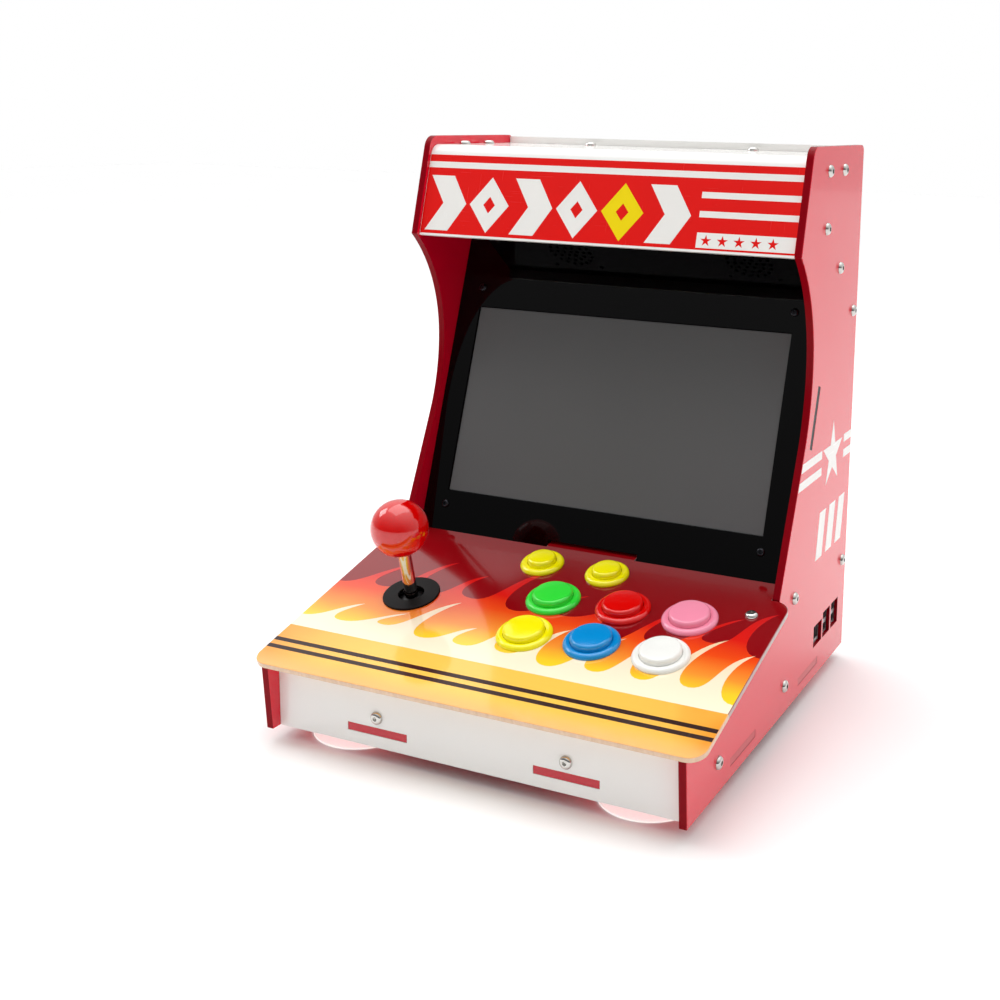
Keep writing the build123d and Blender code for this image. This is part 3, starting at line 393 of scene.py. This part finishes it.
LOOKS = {
    red_side: ["side_panel_left", "side_panel_right"],
    acrylic("red_acrylic_floor", RED, shade(RED, 0.75), UP, shine=1): ["bottom_panel"],
    acrylic("white_acrylic_upright", WHITE, WHITE_EDGE, ALONG, 0.14): ["front_panel", "back_panel"],
    acrylic("white_acrylic_bent", WHITE, WHITE_EDGE, ACROSS, 0.14, True): ["marquee_panel"],
    acrylic("black_acrylic_ceiling", BLACK, BLACK_EDGE, UP): ["ceiling_panel"],
    acrylic("black_acrylic_screen", BLACK, BLACK_EDGE, SCREEN_FACE, 0.03, coat=0.0, gloss=0.22): [
        "screen_bezel", "screen_mount",
    ],
    panel_print("printed_panel"): ["control_panel"],
    display("display_face"): ["lcd_glass"],
    metal("tinned_sheet", colour(178, 180, 182), 0.3): ["lcd_tray", "network_socket", "usb_sockets"],
    steel: [
        "joystick_shaft", "case_screws", "joystick_spring", "joystick_clip", "board_screws", "threaded_studs",
    ],
    metal("galvanised_plate", colour(170, 172, 176), 0.32): ["joystick_plate"],
    metal("black_steel", colour(52, 52, 56), 0.24): ["bezel_screws"],
    brass: ["board_standoffs"],
    angle: ["corner_brackets"],
    boards: ["computer_board", "control_encoder_board", "display_driver_board", "joystick_switch_board"],
    cable("wire_harness", colour(60, 60, 66)): ["control_harness", "speaker_cable", "power_cable"],
    cable("display_ribbon", colour(205, 205, 210)): ["display_cable"],
    silicone("clear_silicone"): ["suction_feet"],
    flat_black: [
        "joystick_housing", "joystick_gimbal", "joystick_actuator", "joystick_cover", "restrictor_gate",
        "microswitches", "speakers", "rocker_frame", "power_inlet",
    ],
    plastic("washer_plastic", colour(18, 13, 13), 0.5, 0.04, 0.0, 0.15): ["dust_washer"],
    plastic("rocker_plastic", colour(26, 26, 27), 0.2): ["rocker_button"],
    plastic("ball_red", colour(214, 10, 8), 0.05, 0.0, 0.8): ["ball_top"],
}
for tone_name, tone in BUTTON_TONES.items():
    moulded = plastic("button_" + tone_name, tone, 0.15)
    LOOKS[moulded] = [f"button_housing_{tone_name}", f"button_plunger_{tone_name}"]
    if tone_name == "yellow":
        LOOKS[moulded] += ["menu_button_housings", "menu_button_plunger_left", "menu_button_plunger_right"]

for material, nodes in LOOKS.items():
    for node in nodes:
        data = frame["nodes"][node].data
        data.materials.clear()
        data.materials.append(material)


# ---- printed shapes ----
def plate(name, loops, where, material, layer=0):
    """Thin printed film on a drawing plane. loops are closed outlines, and one inside another is a hole."""
    drawing = bpy.data.curves.new(name, "CURVE")
    drawing.dimensions = "2D"
    drawing.fill_mode = "BOTH"
    drawing.extrude = PRINT / 2
    for loop in loops:
        outline = drawing.splines.new("POLY")
        outline.points.add(len(loop) - 1)
        outline.use_cyclic_u = True
        for point, (x, y) in zip(outline.points, loop):
            point.co = (x, y, 0, 1)
    flat = bpy.data.objects.new(name, drawing)
    mesh = bpy.data.meshes.new_from_object(flat)
    bpy.data.objects.remove(flat)
    form = bmesh.new()
    form.from_mesh(mesh)
    bmesh.ops.remove_doubles(form, verts=form.verts, dist=PRINT / 50)
    bmesh.ops.recalc_face_normals(form, faces=form.faces)
    form.to_mesh(mesh)
    form.free()
    mesh.transform(where @ Matrix.Translation((0, 0, PRINT * (layer + 0.5))))
    piece = bpy.data.objects.new(name, mesh)
    bpy.context.scene.collection.objects.link(piece)
    mesh.materials.clear()
    mesh.materials.append(material)
    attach(piece, CABINET)
    return piece


def rectangle(left, right, low, high):
    return [(left, low), (right, low), (right, high), (left, high)]


def star(x, y, radius):
    """Five-pointed star with one point up."""
    inner = radius * 0.382
    spots = [(pi / 2 + k * pi / 5, inner if k % 2 else radius) for k in range(10)]
    return [(x + r * cos(turn), y + r * sin(turn)) for turn, r in spots]


def chevron(x, y, width, height):
    """Thick arrowhead that points right."""
    arm, half = width * 0.6, height / 2
    reach = width - arm
    back = [(x + arm, y + height), (x, y + height), (x + reach, y + half)]
    return [(x, y), (x + arm, y), (x + width, y + half)] + back


def diamond(x, y, width, height):
    return [(x + width / 2, y), (x + width, y + height / 2), (x + width / 2, y + height), (x, y + height / 2)]


def framed_diamond(x, y, width, height):
    """A diamond with a small diamond hole in its middle."""
    hole_width, hole_height = width * 0.3, height * 0.3
    hole = diamond(x + (width - hole_width) / 2, y + (height - hole_height) / 2, hole_width, hole_height)
    return [diamond(x, y, width, height), hole]


def slanted(x, y, width, height, lean):
    return [(x, y), (x + width, y), (x + width + lean, y + height), (x + lean, y + height)]


def mirrored(loops):
    return [[(-x, y) for x, y in loop] for loop in loops]


white_film = film("film_white", colour(246, 244, 240))
red_film = film("film_red", colour(232, 20, 14))
yellow_film = film("film_yellow", colour(250, 222, 0))


def marquee_art():
    """Red field with stripes, a row of plain shapes, and a white box that holds five stars."""
    box_left, box_right = 65.3, 127.0
    plate("marquee_red", [rectangle(-MARQUEE_HALF, MARQUEE_HALF, 1.4, MARQUEE_FLAT)], MARQUEE, red_film)
    white = [rectangle(-MARQUEE_HALF, MARQUEE_HALF, 44.7, 48.7)]
    white += [rectangle(box_left, MARQUEE_HALF, low, low + 3.8) for low in (32.6, 21.0)]
    white += [rectangle(box_left, box_right, 2.6, 11.8)]
    white += [star(71.3 + 10.5 * k, 7.0, 3.7) for k in range(5)]
    first, pitch, low, tall, wide = -124.5, 31.2, 3.6, 36.0, 28.5
    for cell in (0, 2, 5):
        white.append(chevron(first + pitch * cell, low, wide, tall))
    for cell in (1, 3):
        white += framed_diamond(first + pitch * cell, low, wide, tall)
    plate("marquee_white", white, MARQUEE, white_film, 1)
    plate("marquee_yellow", framed_diamond(first + pitch * 4, low, wide, tall), MARQUEE, yellow_film, 1)


def edge_depth(height):
    """Depth, a little inside the side panel's front edge, which is an arc with a straight tangent below."""
    margin = 0.6
    across, down = SEAT[0] - CURVE_CENTRE[0], CURVE_CENTRE[1] - SEAT[1]
    turn = atan2(down, across) - acos(CURVE_RADIUS / hypot(across, down))
    drop = CURVE_CENTRE[1] - height
    if drop < CURVE_RADIUS * sin(turn):
        return CURVE_CENTRE[0] + sqrt(CURVE_RADIUS**2 - drop**2) + margin
    return CURVE_CENTRE[0] + (CURVE_RADIUS - drop * sin(turn)) / cos(turn) + margin


def side_art():
    """White star between stripes, over three slanted bars, on both sides."""
    loops = [star(232.6, 143.3, 21.9)]
    for low, high in ((145.2, 150.6), (134.6, 139.8)):
        loops.append([(edge_depth(low), low), (209.5, low), (209.5, high), (edge_depth(high), high)])
    for low, high in ((145.9, 151.2), (135.4, 140.8)):
        loops.append(rectangle(257.5, 274.3, low, high))
    loops += [slanted(204 + 21 * k, 80, 13, 30, 6) for k in range(3)]
    plate("side_print_right", loops, RIGHT, white_film)
    plate("side_print_left", mirrored(loops), LEFT, white_film)


def bezier(a, b, c, d, steps=12):
    """Points along a cubic curve, without its last one."""
    spots = [k / steps for k in range(steps)]
    a, b, c, d = (Vector(p) for p in (a, b, c, d))
    weights = [((1 - t) ** 3, 3 * t * (1 - t) ** 2, 3 * t * t * (1 - t), t**3) for t in spots]
    return [tuple(a * i + b * j + c * k + d * m) for i, j, k, m in weights]


def flames(seed, base, valley, tip, pitch, lean):
    """Outline of a row of curling flame tongues. valley and tip are ranges of height."""
    draw = random.Random(seed)
    edge = PANEL_HALF - INSET - 0.1
    outline = [(edge, base), (-edge, base)]
    count = round(2 * edge / pitch)
    spots = [-edge + 2 * edge * k / count for k in range(count + 1)]
    lows = [(x, draw.uniform(*valley)) for x in spots]
    here = lows[0]
    for there in lows[1:]:
        middle = (here[0] + there[0]) / 2 + draw.uniform(-0.1, 0.1) * pitch
        height = draw.uniform(*tip)
        point = (min(middle + lean * pitch * draw.uniform(0.6, 1.1), edge - 3), height)
        rise = height - max(here[1], there[1])
        curl = (lean * 0.9 * rise * 0.42, rise * 0.3)
        neck = (point[0] - curl[0], point[1] - curl[1])
        swell = pitch * 0.5
        outer = (neck[0] - pitch * 0.3, neck[1] + rise * 0.04)
        inner = (neck[0] - pitch * 0.05, neck[1] - rise * 0.04)
        outline += bezier(here, (here[0] + swell, here[1]), outer, point)
        outline += bezier(point, inner, (there[0] - swell * 1.1, there[1]), there)
        here = there
    outline.append(here)
    return outline


def ring(spot, radius, points=48):
    """Circle as a closed outline."""
    turns = [2 * pi * k / points for k in range(points)]
    return [(spot[0] + radius * cos(turn), spot[1] + radius * sin(turn)) for turn in turns]


def cut_holes(piece):
    """Opens the printed film round the buttons and the joystick."""
    holes = [(spot, WIDE_HOLE) for spot in BUTTONS]
    holes += [(spot, NARROW_HOLE) for spot in MENU_BUTTONS + [STICK]]
    drill = plate("drill", [ring(spot, radius) for spot, radius in holes], PANEL, white_film)
    stretch = 40
    tall = Matrix.Translation((0, 0, -stretch / 2 * PRINT)) @ Matrix.Diagonal((1, 1, stretch, 1))
    drill.data.transform(PANEL @ tall @ PANEL.inverted())
    cutter = piece.modifiers.new("holes", "BOOLEAN")
    cutter.object = drill
    cutter.solver = "EXACT"
    bpy.context.view_layer.update()
    solid = bpy.data.meshes.new_from_object(piece.evaluated_get(bpy.context.evaluated_depsgraph_get()))
    piece.modifiers.clear()
    piece.data = solid
    bpy.data.objects.remove(drill)


def panel_art():
    """Two rows of flames, one behind the other, and two dark stripes along the front."""
    hot = ink(
        "ink_flames_red",
        [
            (33.5, colour(246, 232, 40)), (50, colour(250, 206, 52)), (62, colour(250, 150, 56)),
            (80, colour(240, 78, 30)), (96, colour(222, 30, 22)), (132, colour(196, 28, 34)),
        ],
    )
    cream_tones = [(33.5, colour(255, 246, 214)), (60, colour(252, 234, 204)), (96, colour(248, 206, 160))]
    pale = ink("ink_flames_cream", cream_tones)
    brown = film("ink_stripe", colour(48, 20, 12))
    red_row = flames(5, BAND_TOP, (70, 90), (108, 134), 31, 0.7)
    cream_row = flames(11, BAND_TOP, (40, 50), (62, 94), 27, 0.7)
    red = plate("panel_flames_red", [red_row], PANEL, hot)
    cream = plate("panel_flames_cream", [cream_row], PANEL, pale, 0.6)
    for piece in (red, cream):
        cut_holes(piece)
    reach = PANEL_HALF - INSET
    stripes = [rectangle(-reach, reach, low, low + 3.2) for low in (10.5, 17.4)]
    plate("panel_stripes", stripes, PANEL, brown)


# ---- sockets ----
def block(name, boxes, material):
    """Small boxes with eased edges, in one piece. A box is (lowest corner, highest corner) in metres."""
    form = bmesh.new()
    for low, high in boxes:
        size, middle = high - low, (high + low) / 2
        place = Matrix.Translation(middle) @ Matrix.Diagonal((*size, 1))
        bmesh.ops.create_cube(form, size=1, matrix=place)
    mesh = bpy.data.meshes.new(name)
    form.to_mesh(mesh)
    form.free()
    mesh.materials.append(material)
    piece = bpy.data.objects.new(name, mesh)
    bpy.context.scene.collection.objects.link(piece)
    ease = piece.modifiers.new("eased edges", "BEVEL")
    ease.width = 0.12 * MM
    ease.segments = 2
    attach(piece, CABINET)
    return piece


def cuboid(x, y, z, size):
    """A box for block(), from its lowest x, middle y and lowest z in metres, and its size in millimetres."""
    length, width, height = (v * MM for v in size)
    return Vector((x, y - width / 2, z)), Vector((x + length, y + width / 2, z + height))


def row(middle, pitch, count):
    """Middles of evenly spaced contacts, in metres. The pitch is in millimetres."""
    return [middle + (k - (count - 1) / 2) * pitch * MM for k in range(count)]


def socket_insides():
    """Tongues and contacts inside the network and USB sockets, placed from the record's openings."""
    tongue, usb_contact, network_contact = (8.8, 8.8, 1.8), (7.6, 1.0, 0.25), (8.5, 0.4, 0.4)
    tongues, contacts = [], []
    for opening in frame["record"]["physics"]["openings"]:
        low, high = (Vector(corner) for corner in opening["box_m"])
        middle = (low + high) / 2
        back = low.x - 0.6 * MM
        if opening["name"].startswith("usb"):
            tongues.append(cuboid(back, middle.y, middle.z + 0.1 * MM, tongue))
            for y in row(middle.y, 2.2, 4):
                contacts.append(cuboid(back + 0.4 * MM, y, middle.z - 0.05 * MM, usb_contact))
        elif opening["name"] == "network_port":
            for y in row(middle.y, 1.02, 8):
                contacts.append(cuboid(back, y, high.z - 0.9 * MM, network_contact))
    block("usb_tongues", tongues, flat_black)
    block("socket_contacts", contacts, brass)


marquee_art()
side_art()
panel_art()
socket_insides()


# ---- floor, light and camera ----
def floor():
    half = 6.0
    data = bpy.data.meshes.new("floor")
    corners = [(-half, -half, 0), (half, -half, 0), (half, half, 0), (-half, half, 0)]
    data.from_pydata(corners, [], [(0, 1, 2, 3)])
    shader = Shader("pale_floor")
    paper = shader.mix(shader.noise(3), (0.95, 0.95, 0.95, 1), (0.97, 0.97, 0.97, 1))
    shader.set(Base_Color=paper, Roughness=0.8)
    data.materials.append(shader.material)
    ground = bpy.data.objects.new("floor", data)
    bpy.context.scene.collection.objects.link(ground)


def studio():
    """White room that is dimmer in front of the object, seen as a plain pale backdrop."""
    world = bpy.data.worlds.new("studio")
    bpy.context.scene.world = world
    world.use_nodes = True
    nodes, links = world.node_tree.nodes, world.node_tree.links
    nodes.clear()
    direction = nodes.new("ShaderNodeTexCoord")
    split = nodes.new("ShaderNodeSeparateXYZ")
    links.new(direction.outputs["Generated"], split.inputs[0])
    depth = nodes.new("ShaderNodeMapRange")
    links.new(split.outputs["Y"], depth.inputs["Value"])
    for socket, value in (("From Min", -0.7), ("From Max", 0.35), ("To Min", 0.14), ("To Max", 0.88)):
        depth.inputs[socket].default_value = value
    overhead = nodes.new("ShaderNodeMath")
    overhead.operation = "POWER"
    links.new(split.outputs["Z"], overhead.inputs[0])
    overhead.inputs[1].default_value = 2.0
    strength = nodes.new("ShaderNodeMath")
    strength.operation = "MULTIPLY_ADD"
    links.new(overhead.outputs[0], strength.inputs[0])
    strength.inputs[1].default_value = 1.45
    links.new(depth.outputs[0], strength.inputs[2])
    room = nodes.new("ShaderNodeBackground")
    links.new(strength.outputs[0], room.inputs["Strength"])
    backdrop = nodes.new("ShaderNodeBackground")
    backdrop.inputs["Color"].default_value = (1, 1, 1, 1)
    ray = nodes.new("ShaderNodeLightPath")
    pick = nodes.new("ShaderNodeMixShader")
    links.new(ray.outputs["Is Camera Ray"], pick.inputs[0])
    links.new(room.outputs[0], pick.inputs[1])
    links.new(backdrop.outputs[0], pick.inputs[2])
    output = nodes.new("ShaderNodeOutputWorld")
    links.new(pick.outputs[0], output.inputs[0])


def soft_light(name, spot, size, power, target=(0, 0, 0.15)):
    data = bpy.data.lights.new(name, "AREA")
    data.shape = "RECTANGLE"
    data.size, data.size_y = size
    data.energy = power
    lamp = bpy.data.objects.new(name, data)
    lamp.location = spot
    aim = Vector(target) - Vector(spot)
    lamp.rotation_euler = aim.to_track_quat("-Z", "Y").to_euler()
    bpy.context.scene.collection.objects.link(lamp)


def camera():
    """Camera in front, to the right and above, at the reference view's angle."""
    yaw, pitch, roll = radians(23.47), radians(10.04), radians(1.2)
    ahead = Vector((-sin(yaw) * cos(pitch), cos(yaw) * cos(pitch), -sin(pitch)))
    right = ahead.cross(Vector((0, 0, 1))).normalized()
    top = right.cross(ahead)
    turned = cos(roll) * right + sin(roll) * top, cos(roll) * top - sin(roll) * right
    data = bpy.data.cameras.new("camera")
    data.sensor_width = 36.0
    data.lens = 48.5
    data.shift_x, data.shift_y = -0.1648, -0.1461
    view = bpy.data.objects.new("camera", data)
    facing = Matrix((*turned, -ahead)).transposed().to_4x4()
    view.matrix_world = Matrix.Translation((0.3674, -0.7191, 0.3641)) @ facing
    bpy.context.scene.collection.objects.link(view)
    bpy.context.scene.camera = view


floor()
studio()
soft_light("overhead", (-0.2, 0.1, 1.5), (1.4, 1.2), 8.0)
soft_light("left", (-1.5, -0.15, 1.2), (0.7, 0.7), 6.0)
camera()
bpy.context.scene.view_settings.view_transform = "Standard"
